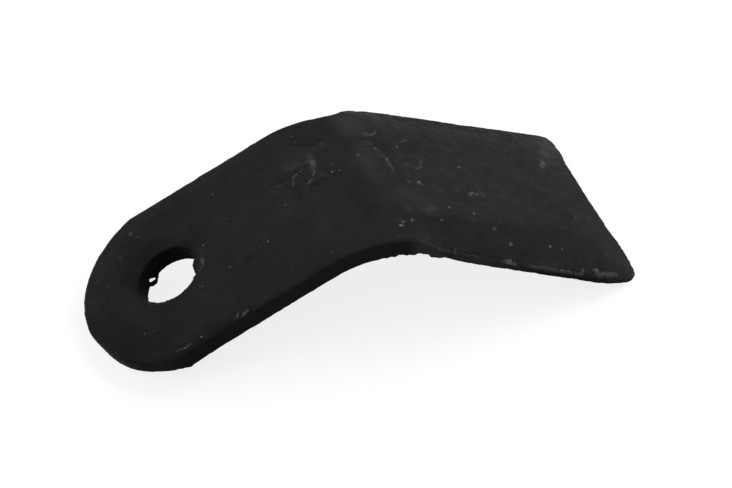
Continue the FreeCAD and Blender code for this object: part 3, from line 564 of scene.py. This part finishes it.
def depth_below(place):
    """For each place: X and slope of the nearest spot on the bar's upper face, and the depth below it."""
    lean_x, lean_angle = zip(*BENDS)
    line_x = np.linspace(-30.0, 110.0, 2801)
    sines = np.interp(line_x, lean_x, np.sin(np.radians(lean_angle)))
    falls = sines / np.sqrt(1 - sines ** 2)
    line_z = -np.concatenate(([0.0], np.cumsum((falls[1:] + falls[:-1]) / 2 * np.diff(line_x))))
    foot = place[:, 0].copy()
    for _ in range(8):
        sine = np.interp(foot, line_x, sines)
        cosine = np.sqrt(1 - sine ** 2)
        depth = (foot - place[:, 0]) * sine + (np.interp(foot, line_x, line_z) - place[:, 2]) * cosine
        foot = place[:, 0] + depth * sine
    return foot, np.arcsin(sine), depth


def bevel_drop(across):
    """How far the bevel has fallen below the flat, at each distance from the middle of the leg."""
    return np.maximum(np.abs(across) - SHOULDER, 0) * BEVEL_FALL


def ease_bevels(skin, surface):
    """The bevels rise softly from the crease and round over into the flat, as hammered shoulders do."""
    foot, lean, depth = depth_below(skin.place)
    past = np.abs(skin.place[:, 1]) - SHOULDER
    cut = bevel_drop(skin.place[:, 1])
    was = np.where(foot > BEVEL_START, cut, 0)
    half = surface.shoulder_blend
    rounded = np.where(past > half, past, np.clip(past + half, 0, None) ** 2 / (4 * half)) * BEVEL_FALL
    becomes = rounded * smooth_step(foot, BEVEL_START - 0.5, BEVEL_START + surface.bevel_run)
    moved = THICKNESS - (THICKNESS - depth) * (THICKNESS - becomes) / (THICKNESS - was)
    step = (np.abs(foot - BEVEL_START) < 0.6) & (depth < cut + 0.4) & (past > -half)
    moved = np.where(step, becomes + np.clip(depth - cut, 0, None), moved)
    rise = depth - moved
    skin.place[:, 0] += rise * np.sin(lean)
    skin.place[:, 2] += rise * np.cos(lean)
    skin.look()


def forge(skin, surface):
    """Gives the skin its unevenness and chipped arrises; returns where arrises, narrow sides and chips are."""
    from_bore = np.hypot(skin.place[:, 0], skin.place[:, 1])
    in_bore = from_bore < BORE_ZONE
    settled = skin.spread(skin.place, surface.settle)
    skin.place = np.where(in_bore[:, None], 0.7 * skin.place + 0.3 * settled, settled)
    skin.look()
    mean_place = skin.spread(skin.place, 8)
    bulge = ((skin.place - mean_place) * skin.out).sum(axis=1)
    arris = smooth_step(bulge, 0.04, 0.12)
    arris_zone = smooth_step(skin.spread(arris, 4)[:, 0], 0.02, 0.4)
    ragged = 0.30 * skin.waves(2.8, surface.seed + 5) + 0.25 * skin.waves(1.1, surface.seed + 6)
    side = 1 - smooth_step(np.abs(side_lean(skin)) + ragged, 0.20, 0.65)
    chips = skin.waves(2.1, surface.seed) + 0.6 * skin.waves(0.9, surface.seed + 1)
    rough_edge = 1 + 1.4 * smooth_step(-skin.place[:, 1], 18, 23) + smooth_step(skin.place[:, 0], 92, 96)
    loss = arris_zone * smooth_step(chips, -0.1, 0.7) * surface.arris_loss * rough_edge
    loss[in_bore] = 0
    swell = skin.waves(surface.swell_length, surface.seed + 2) * surface.swell
    ripple = skin.waves(surface.ripple_length, surface.seed + 3) * surface.ripple
    wander = skin.waves(6.5, surface.seed + 4) * surface.edge_wander
    pushed = np.zeros(len(side))
    for _, place, reach, height in BULGES:
        gap = np.linalg.norm(skin.place - np.array(place), axis=1)
        pushed += height * (1 - smooth_step(gap, 0, reach))
    outline = side * ~in_bore
    broad = (1 - side) * smooth_step(from_bore, 8.8, 15.0)
    on_faces = (swell + surface.fullness / 2) * broad
    on_sides = (wander + surface.fullness + pushed) * outline
    skin.move(on_faces + ripple + on_sides - loss)
    return arris, side, chips


def side_lean(skin):
    """How squarely each point faces the top or the underside of the bar at its place."""
    lean = depth_below(skin.place)[1]
    return skin.out[:, 0] * np.sin(lean) + skin.out[:, 2] * np.cos(lean)


def mark(skin):
    """Cuts the marks into the upper face; returns where it is torn, how brightly, how veiled and how strong the
    painted shade in its pits and dents is.
    """
    count = len(skin.place)
    torn, level, veil, dark, depth = (np.zeros(count) for _ in range(5))
    below_bevel = depth_below(skin.place)[2] - bevel_drop(skin.place[:, 1])
    land = (skin.place[:, 0] > 60.0) * smooth_step(-skin.place[:, 1], 26.5, 28.0)
    land *= 1 - smooth_step(below_bevel, 0.5, 1.1)
    upper = smooth_step(side_lean(skin) + land, 0.2, 0.6)
    warp = 0.28 * np.column_stack((skin.waves(0.9, MARK_SEED), skin.waves(0.9, MARK_SEED + 1)))
    warp += 0.40 * np.column_stack((skin.waves(2.6, MARK_SEED + 2), skin.waves(2.6, MARK_SEED + 3)))
    places = skin.place[:, :2] + warp - SEEN_OFFSET
    for _, line, width, cut, shine in STREAKS:
        gap = line_distance(places, line)
        if shine < VEIL_LIMIT:
            veil = np.maximum(veil, shine * (1 - smooth_step(gap, 0, width * VEIL_REACH)))
            continue
        inside = np.clip(1 - gap / width, 0, 1)
        torn = np.maximum(torn, inside)
        level = np.maximum(level, shine * (inside > 0))
        depth += smooth_step(inside, 0.2, 1) * cut
    for _, place, radius, shine in SPOTS:
        stretch = np.array((0.10, 0.26)) * (place[0] > BEVEL_START) + 1e-6
        gap = line_distance(places, (place - stretch, place + stretch))
        if shine < VEIL_LIMIT:
            veil = np.maximum(veil, shine * (1 - smooth_step(gap, 0, radius * SPOT_VEIL_REACH)))
            continue
        inside = np.clip(1 - gap / (radius * SPOT_REACH), 0, 1)
        torn = np.maximum(torn, inside)
        level = np.maximum(level, min(1, SPOT_GAIN * shine) * (inside > 0))
        # The pit beside each spot is dented, and its hollow painted with shade.
        pit = line_distance(places, (place - PIT_OFFSET - stretch, place - PIT_OFFSET + stretch))
        hollow = 1 - smooth_step(pit, 0, radius * PIT_REACH)
        depth += hollow * PIT_DEPTH - smooth_step(inside, 0.2, 1) * LIP_HEIGHT
        dark = np.maximum(dark, hollow * min(1, 0.3 + shine))
    # Dents are cut in, and their hollows painted with shade.
    for _, line, width, cut, shade_strength in DENTS:
        inside = 1 - smooth_step(line_distance(places, line), 0, width * DENT_REACH)
        depth += inside * cut
        dark = np.maximum(dark, inside * shade_strength)
    skin.move(-depth * upper)
    return torn * upper, level, veil * upper, dark * upper


def shade(skin, side):
    """Painted light and shade, with patches of coat tone: how much lighter or darker the coat's colour is at
    each point; 1 leaves it as it is.
    """
    x, y = skin.place[:, 0], skin.place[:, 1]
    drift = 1.6 * np.column_stack((skin.waves(7.0, SHADE_SEED), skin.waves(7.0, SHADE_SEED + 1)))
    total = np.zeros(len(x))
    for _, place, (long, wide), turn, strength in PAINTED_LIGHT_AND_TONE_PATCHES:
        angle = math.radians(turn)
        away = skin.place[:, :2] + drift - np.array(place)
        along = away @ np.array((math.cos(angle), math.sin(angle))) / long
        across = away @ np.array((-math.sin(angle), math.cos(angle))) / wide
        total += strength * (1 - smooth_step(np.hypot(along, across), 0.25, 1.15))
    leg = smooth_step(x, 57.0, 62.0) * (1 - smooth_step(x + 0.4 * (y + 25.0), 91.0, 97.0))
    near = smooth_step(-y + 0.5 * drift[:, 0], 15.0, 20.0)
    total -= (0.42 - 0.12 * smooth_step(x, 74.0, 82.0)) * leg * near
    # Painted shade: the leg's far bevel is darker.
    far = smooth_step(x, 62.0, 68.0) * (1 - smooth_step(x, 94.0, 98.0))
    total -= far * (0.26 * smooth_step(y, 12.0, 20.0) + 0.40 * smooth_step(y, 18.0, 26.0))
    # Painted light: the leg's near wall, which faces away from the lamps, is lighter towards its top.
    foot, _, depth = depth_below(skin.place)
    wall = side * smooth_step(foot, *CREASE_RUN) * smooth_step(-y, *NEAR_SIDE)
    further = smooth_step(x, 68.0, 80.0)
    upper_part = 1 - smooth_step((depth - 4.2 + 1.3 * further) / (0.6 + 0.9 * further), 0, 1)
    total += wall * (0.72 + 0.48 * smooth_step(x, 57.0, 62.0) - 0.25 * further) * upper_part
    total -= 0.10 * smooth_step(x, 60.0, 64.0) * (1 - smooth_step(x, 92.0, 97.0))
    # Painted shade round the bore's upper left rim.
    reach = np.hypot(x, y)
    towards = (-0.6 * x + 0.8 * y) / reach
    total -= 0.50 * (1 - smooth_step(reach, 8.0, 10.8)) * smooth_step(towards, -0.3, 0.4)
    # Painted shade on the bore's wall, less on the lip at its upper rim.
    deep = smooth_step(-skin.place[:, 2], -0.12, 0.30) * (reach < 8.5)
    lip = (x > 5.8) * (y < 0.4) * (skin.place[:, 2] > -2.0)
    return np.exp(total) * (1 - deep * (0.85 - 0.55 * lip))


def nick(skin):
    """Breaks small pieces out of the edges."""
    for _, place, radius, push in NOTCHES:
        gap = np.linalg.norm(skin.place - np.array(place), axis=1)
        skin.place += np.outer(1 - smooth_step(gap, 0, radius), push)
    skin.look()


def side_paint(skin):
    """Where the narrow sides are dark: on the leg's near side only towards the underside."""
    foot, _, depth = depth_below(skin.place)
    along = smooth_step(foot, 66.0, 76.0)
    low = smooth_step((depth - (4.1 - 1.5 * along)) / (0.7 + 0.8 * along), 0, 1)
    leg = smooth_step(foot, *CREASE_RUN) * smooth_step(-skin.place[:, 1], *NEAR_SIDE)
    return 1 - leg * (1 - low)


def wear_level(skin, arris, chips):
    """How bright each arris is worn, by where it is on the blade."""
    x, y = skin.place[:, 0], skin.place[:, 1]
    on_leg = smooth_step(x, 52.0, 60.0)
    upper = smooth_step(side_lean(skin), 0.05, 0.45)
    near_land = smooth_step(x, 66.0, 74.0) * smooth_step(-y, 24.0, 27.0) * upper
    far_land = on_leg * smooth_step(y, 22.0, 26.0) * upper
    cut_end = smooth_step(x, 90.0, 95.0) * upper
    shank_near = (1 - on_leg) * smooth_step(-y, 19.0, 24.0) * upper
    shank_far = (1 - on_leg) * smooth_step(y, 16.0, 22.0) * upper
    round_end = smooth_step(-x, 8.0, 14.0) * upper
    level = 0.22 * near_land + 0.14 * far_land + 0.34 * cut_end
    level += 0.05 * shank_near + 0.12 * shank_far + 0.12 * round_end
    patchy = smooth_step(chips, -0.35, 0.75)
    return np.clip(arris * level * (0.15 + 0.85 * patchy), 0, 1)


def store(mesh, name, values):
    """Keeps one value a point on the mesh, for the material to read."""
    layer = mesh.attributes.new(name, "FLOAT", "POINT")
    layer.data.foreach_set("value", values.astype(np.float32))


def thin_out(piece, most, detail):
    """Joins the smallest faces where the skin is plain, down to a number of triangles."""
    mesh = piece.data
    mesh.calc_loop_triangles()
    plain = piece.vertex_groups.new(name="plain")
    plainness = np.round(np.clip(1 - detail, 0, 1) * 4) / 4
    for weight in (0.25, 0.5, 0.75, 1.0):
        plain.add(np.flatnonzero(plainness == weight).tolist(), weight, "REPLACE")
    fewer = piece.modifiers.new("Fewer faces", "DECIMATE")
    fewer.ratio = min(1.0, most / len(mesh.loop_triangles))
    fewer.vertex_group = plain.name
    depsgraph = bpy.context.evaluated_depsgraph_get()
    piece.data = bpy.data.meshes.new_from_object(piece.evaluated_get(depsgraph), depsgraph=depsgraph)
    piece.data.name = piece.name
    piece.modifiers.clear()
    piece.vertex_groups.clear()
    bpy.data.meshes.remove(mesh)


def fit_box(mesh):
    """Draws every point into the CAD blade's box."""
    places = np.empty(len(mesh.vertices) * 3)
    mesh.vertices.foreach_get("co", places)
    places = np.clip(places.reshape(-1, 3), CAD_BOX[0], CAD_BOX[1])
    mesh.vertices.foreach_set("co", places.ravel())
    mesh.update()


def dress(piece, material):
    """Gives the piece its one material and smooth faces."""
    piece.data.materials.clear()
    piece.data.materials.append(material)
    piece.data.shade_smooth()


# Material of the coat


class Nodes:
    """Short calls for a material's nodes and links."""

    def __init__(self, name):
        self.material = bpy.data.materials.new(name)
        self.material.use_nodes = True
        self.tree = self.material.node_tree
        self.tree.nodes.clear()

    def add(self, kind, inputs=None, **settings):
        """A node with its inputs linked or set."""
        node = self.tree.nodes.new(kind)
        for key, value in settings.items():
            setattr(node, key, value)
        for key, value in (inputs or {}).items():
            if isinstance(value, bpy.types.NodeSocket):
                self.tree.links.new(value, node.inputs[key])
            else:
                node.inputs[key].default_value = value
        return node

    def place(self):
        """Place on the piece, in metres."""
        return self.add("ShaderNodeTexCoord").outputs["Object"]

    def value(self, name):
        """A value that was kept on the mesh."""
        return self.add("ShaderNodeAttribute", attribute_name=name, attribute_type="GEOMETRY").outputs["Fac"]

    def noise(self, length, detail=3.0, roughness=0.55):
        """Chance pattern with features of about the given length in millimetres."""
        return self.add("ShaderNodeTexNoise", {"Vector": self.place(), "Scale": 1 / (length * MM),
                                               "Detail": detail, "Roughness": roughness}).outputs["Fac"]

    def ramp(self, factor, low, high, start=0.0, end=1.0):
        """A smooth rise from start to end as the factor goes from low to high."""
        return self.add("ShaderNodeMapRange", {"Value": factor, "From Min": low, "From Max": high,
                                               "To Min": start, "To Max": end},
                        interpolation_type="SMOOTHSTEP").outputs["Result"]

    def calc(self, operation, first, second):
        """One sum of two values."""
        return self.add("ShaderNodeMath", {0: first, 1: second}, operation=operation).outputs[0]

    def mix(self, factor, first, second):
        """A colour between two, by the factor."""
        node = self.add("ShaderNodeMix", data_type="RGBA")
        for index, value in ((0, factor), (6, first), (7, second)):
            if isinstance(value, bpy.types.NodeSocket):
                self.tree.links.new(value, node.inputs[index])
            else:
                node.inputs[index].default_value = value
        return node.outputs[2]


def coat_material(finish):
    """Black coat on forged steel: patchy, with painted light and shade, painted shade in pits and dents, dust
    specks, grey scuffs and bright worn arrises.
    """
    n = Nodes("black_coat_on_forged_steel")
    coat, faded, side, scuff, pit = ((*colour, 1.0) for colour in (
        finish.coat, finish.faded, finish.side, finish.scuff, finish.pit))
    patches = n.ramp(n.noise(9.0, 4.0, 0.6), 0.35, 0.65)
    mottle = n.ramp(n.noise(1.6, 5.0, 0.65), 0.30, 0.75)
    tone = n.calc("ADD", n.calc("MULTIPLY", patches, 0.70), n.calc("MULTIPLY", mottle, 0.30))
    colour = n.mix(tone, coat, faded)
    colour = n.mix(n.value("side"), colour, side)
    # Painted light and shade: the colour is scaled by the shade value kept on the mesh, which also holds the
    # pale veils of wear.
    colour_with_painted_light = n.add("ShaderNodeVectorMath", {0: colour, "Scale": n.value("shade")}, operation="SCALE")
    # Painted shade in pits and dents: the colour goes towards the pit colour.
    colour = n.mix(n.calc("MULTIPLY", n.value("dark"), PIT_SHADE_SHARE), colour_with_painted_light.outputs[0], pit)
    cells = n.add("ShaderNodeTexVoronoi", {"Vector": n.place(), "Scale": 1 / (2.2 * MM), "Randomness": 1.0},
                  feature="F1")
    chosen = n.ramp(n.add("ShaderNodeSeparateColor", {"Color": cells.outputs["Color"]}).outputs[0], 0.90, 1.0)
    dust = n.calc("MULTIPLY", n.ramp(cells.outputs["Distance"], 0.17, 0.08), chosen)
    dust = n.calc("MULTIPLY", dust, n.calc("SUBTRACT", 1.0, n.value("side")))
    broken = n.ramp(n.noise(0.7, 4.0, 0.7), 0.30, 0.62)
    rubbed = n.calc("MULTIPLY", n.value("wear"), n.calc("ADD", n.calc("MULTIPLY", broken, 0.7), 0.3))
    jagged = n.calc("SUBTRACT", n.noise(0.5, 3.0, 0.6), 0.5)
    torn = n.ramp(n.calc("ADD", n.value("torn"), n.calc("MULTIPLY", jagged, 1.3)), 0.46, 0.78)
    flecked = n.calc("ADD", n.calc("MULTIPLY", n.ramp(n.noise(0.45, 2.0, 0.5), 0.35, 0.65), 0.6), 0.5)
    torn = n.calc("MULTIPLY", n.calc("MULTIPLY", torn, flecked), n.calc("MULTIPLY", n.value("level"), TORN_GAIN))
    bare = n.calc("MAXIMUM", n.calc("MAXIMUM", rubbed, torn), n.calc("MULTIPLY", dust, DUST_LEVEL))
    colour = n.mix(bare, colour, scuff)
    rough = n.ramp(n.noise(2.4, 4.0, 0.6), 0.25, 0.75, finish.roughness - 0.10, finish.roughness + 0.10)
    rough = n.calc("ADD", rough, n.calc("MULTIPLY", n.value("side"), 0.20))
    grain = n.calc("ADD", n.calc("MULTIPLY", n.noise(0.55, 4.0, 0.6), 0.35),
                   n.calc("MULTIPLY", n.noise(2.8, 4.0, 0.55), 1.0))
    bump = n.add("ShaderNodeBump", {"Height": grain, "Strength": BUMP_STRENGTH, "Distance": BUMP_HEIGHT * MM})
    surface = n.add("ShaderNodeBsdfPrincipled", {
        "Base Color": colour, "Roughness": rough, "Normal": bump.outputs["Normal"],
        "Specular IOR Level": finish.sheen_level, "Metallic": 0.0})
    output = n.add("ShaderNodeOutputMaterial")
    n.tree.links.new(surface.outputs[0], output.inputs["Surface"])
    return n.material


# Stage


def floor_material(stage):
    """A floor that looks white and still takes a shadow."""
    n = Nodes("white_floor")
    tone = stage.floor_tone
    seen = n.add("ShaderNodeLightPath")
    shows = n.calc("MAXIMUM", n.calc("MAXIMUM", seen.outputs["Is Camera Ray"], seen.outputs["Is Glossy Ray"]),
                   seen.outputs["Is Transmission Ray"])
    strength = n.calc("MULTIPLY", shows, 1 - tone)
    glow = n.add("ShaderNodeEmission", {"Color": (1, 1, 1, 1), "Strength": strength})
    matt = n.add("ShaderNodeBsdfDiffuse", {"Color": (tone, tone, tone, 1)})
    both = n.add("ShaderNodeAddShader")
    n.tree.links.new(matt.outputs[0], both.inputs[0])
    n.tree.links.new(glow.outputs[0], both.inputs[1])
    output = n.add("ShaderNodeOutputMaterial")
    n.tree.links.new(both.outputs[0], output.inputs["Surface"])
    return n.material


def make_world(stage):
    """Soft light from all round, which shows white behind the blade."""
    world = bpy.data.worlds.new("soft_sky")
    world.use_nodes = True
    bpy.context.scene.world = world
    tree = world.node_tree
    seen = tree.nodes.new("ShaderNodeLightPath")
    first = tree.nodes.new("ShaderNodeMath")
    second = tree.nodes.new("ShaderNodeMath")
    first.operation = second.operation = "MAXIMUM"
    tree.links.new(seen.outputs["Is Camera Ray"], first.inputs[0])
    tree.links.new(seen.outputs["Is Glossy Ray"], first.inputs[1])
    tree.links.new(first.outputs[0], second.inputs[0])
    tree.links.new(seen.outputs["Is Transmission Ray"], second.inputs[1])
    level = tree.nodes.new("ShaderNodeMapRange")
    level.inputs["To Min"].default_value = stage.sky
    level.inputs["To Max"].default_value = 1.0
    tree.links.new(second.outputs[0], level.inputs["Value"])
    tree.links.new(level.outputs[0], tree.nodes["Background"].inputs["Strength"])
    tree.nodes["Background"].inputs["Color"].default_value = (1, 1, 1, 1)


def make_lamp(name, place, aim, width, power):
    """A round lamp at a place, turned to its aim; metres and watts."""
    light = bpy.data.lights.new(name, "AREA")
    light.shape = "DISK"
    light.size = width
    light.energy = power
    lamp = bpy.data.objects.new(name, light)
    lamp.location = place
    lamp.rotation_mode = "QUATERNION"
    lamp.rotation_quaternion = (Vector(aim) - Vector(place)).to_track_quat("-Z", "Y")
    bpy.context.scene.collection.objects.link(lamp)


def make_camera(stage):
    """The camera at the picture's own angle to the blade."""
    camera = bpy.data.cameras.new("camera")
    camera.lens = stage.lens
    camera.sensor_width = 36.0
    camera.shift_x, camera.shift_y = CAMERA_SHIFT
    camera.clip_start = 0.01
    holder = bpy.data.objects.new("camera", camera)
    bpy.context.scene.collection.objects.link(holder)
    turn = Euler([math.radians(angle) for angle in stage.camera_turn], "XYZ").to_matrix().to_4x4()
    place = Matrix.Translation(Vector(stage.camera_place) * MM)
    holder.matrix_world = blade_frame() @ place @ turn
    bpy.context.scene.camera = holder


# Operators, panel and running


class MULCHER_OT_forge_blade(bpy.types.Operator):
    """Builds the forged blade over the CAD solid, with its marks and its coat"""

    bl_idname = "mulcher.forge_blade"
    bl_label = "Forge the blade"

    def execute(self, context):
        scene = context.scene
        mesh = fine_copy(scene.blade_surface)
        skin = Skin(mesh)
        if not len(skin.place):
            raise RuntimeError("the CAD blade gave no mesh")
        arris, side, chips = forge(skin, scene.blade_surface)
        torn, level, veil, dark = mark(skin)
        wear = wear_level(skin, arris, chips)
        store(mesh, "wear", wear)
        # The shade value: painted light and shade, and the pale veils of wear, which scale the coat's colour.
        store(mesh, "shade", shade(skin, side) * (1 + VEIL_GAIN * veil))
        store(mesh, "side", side * side_paint(skin))
        store(mesh, "torn", torn)
        store(mesh, "level", level)
        # Painted shade in pits and dents.
        store(mesh, "dark", dark)
        piece = bpy.data.objects.new("forged_blade", mesh)
        scene.collection.objects.link(piece)
        detail = np.minimum(1, 3 * torn + 2 * dark + wear + arris)
        thin_out(piece, scene.blade_surface.triangles, detail)
        piece.data.transform(blade_frame() @ Matrix.Scale(MM, 4))
        fit_box(piece.data)
        dress(piece, coat_material(scene.blade_finish))
        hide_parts(NODE)
        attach(piece, BODY)
        return {"FINISHED"}


class MULCHER_OT_make_stage(bpy.types.Operator):
    """Lays the floor and sets the sky, the lamps and the camera"""

    bl_idname = "mulcher.make_stage"
    bl_label = "Make the stage"

    def execute(self, context):
        stage = context.scene.blade_stage
        mesh = bpy.data.meshes.new("floor")
        corners = [(x * FLOOR_REACH, y * FLOOR_REACH, 0) for x, y in ((-1, -1), (1, -1), (1, 1), (-1, 1))]
        mesh.from_pydata(corners, [], [(0, 1, 2, 3)])
        mesh.materials.append(floor_material(stage))
        floor = bpy.data.objects.new("floor", mesh)
        context.scene.collection.objects.link(floor)
        make_world(stage)
        make_lamp("key", KEY_PLACE, (0, 0, 0), KEY_WIDTH, stage.key)
        make_lamp("fill", FILL_PLACE, (0, 0, 0), FILL_WIDTH, stage.fill)
        make_camera(stage)
        context.scene.view_settings.view_transform = "Standard"
        return {"FINISHED"}


class MULCHER_PT_blade(bpy.types.Panel):
    """Lists the blade's sizes, colours and steps"""

    bl_idname = "MULCHER_PT_blade"
    bl_label = "Mulcher blade"
    bl_space_type = "VIEW_3D"
    bl_region_type = "UI"
    bl_category = "Blade"

    def draw(self, context):
        layout = self.layout
        for group in ("blade_surface", "blade_finish", "blade_stage"):
            settings = getattr(context.scene, group)
            box = layout.box()
            for name in settings.__annotations__:
                box.prop(settings, name)
        layout.operator(MULCHER_OT_forge_blade.bl_idname)
        layout.operator(MULCHER_OT_make_stage.bl_idname)


CLASSES = (BladeSurface, BladeFinish, BladeStage, MULCHER_OT_forge_blade, MULCHER_OT_make_stage,
           MULCHER_PT_blade)


def register():
    for item in CLASSES:
        bpy.utils.register_class(item)
    bpy.types.Scene.blade_surface = bpy.props.PointerProperty(type=BladeSurface)
    bpy.types.Scene.blade_finish = bpy.props.PointerProperty(type=BladeFinish)
    bpy.types.Scene.blade_stage = bpy.props.PointerProperty(type=BladeStage)


def unregister():
    del bpy.types.Scene.blade_stage
    del bpy.types.Scene.blade_finish
    del bpy.types.Scene.blade_surface
    for item in reversed(CLASSES):
        bpy.utils.unregister_class(item)


def main():
    register()
    bpy.ops.mulcher.forge_blade()
    bpy.ops.mulcher.make_stage()


if __name__ == "__main__":
    main()
